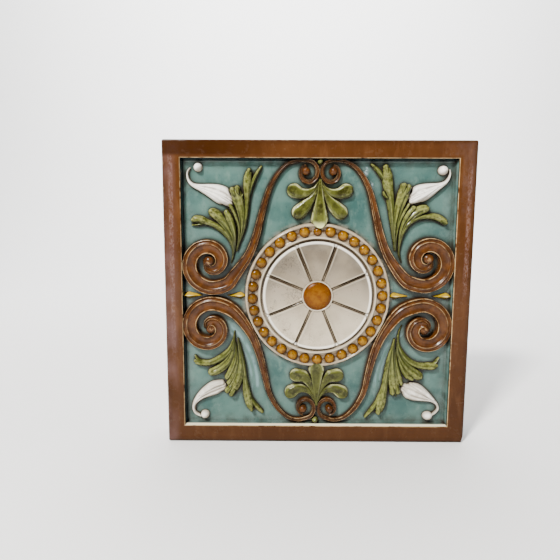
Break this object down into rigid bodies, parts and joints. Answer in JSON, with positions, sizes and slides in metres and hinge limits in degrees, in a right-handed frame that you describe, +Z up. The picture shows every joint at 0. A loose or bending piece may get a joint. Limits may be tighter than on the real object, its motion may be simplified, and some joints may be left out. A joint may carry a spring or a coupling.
{
  "type": "relief wall tile",
  "caption": "Square majolica relief tile: raised frame, beaded rosette, paired scrolls, leaf sprays and palmettes, grooved back for bedding.",
  "frame": {"origin": "middle of the lower edge's underside, centred across and through the thickness", "axes": "+Z up the tile as hung, +Y out of its back, -Y out of its decorated face, +X to the right seen from the front"},
  "size_m": [0.305, 0.038, 0.305],
  "materials": {
    "majolica_glaze": "gloss"
  },
  "bodies": {
    "root": {"relief_tile": "majolica_glaze"}
  },
  "joints": []
}
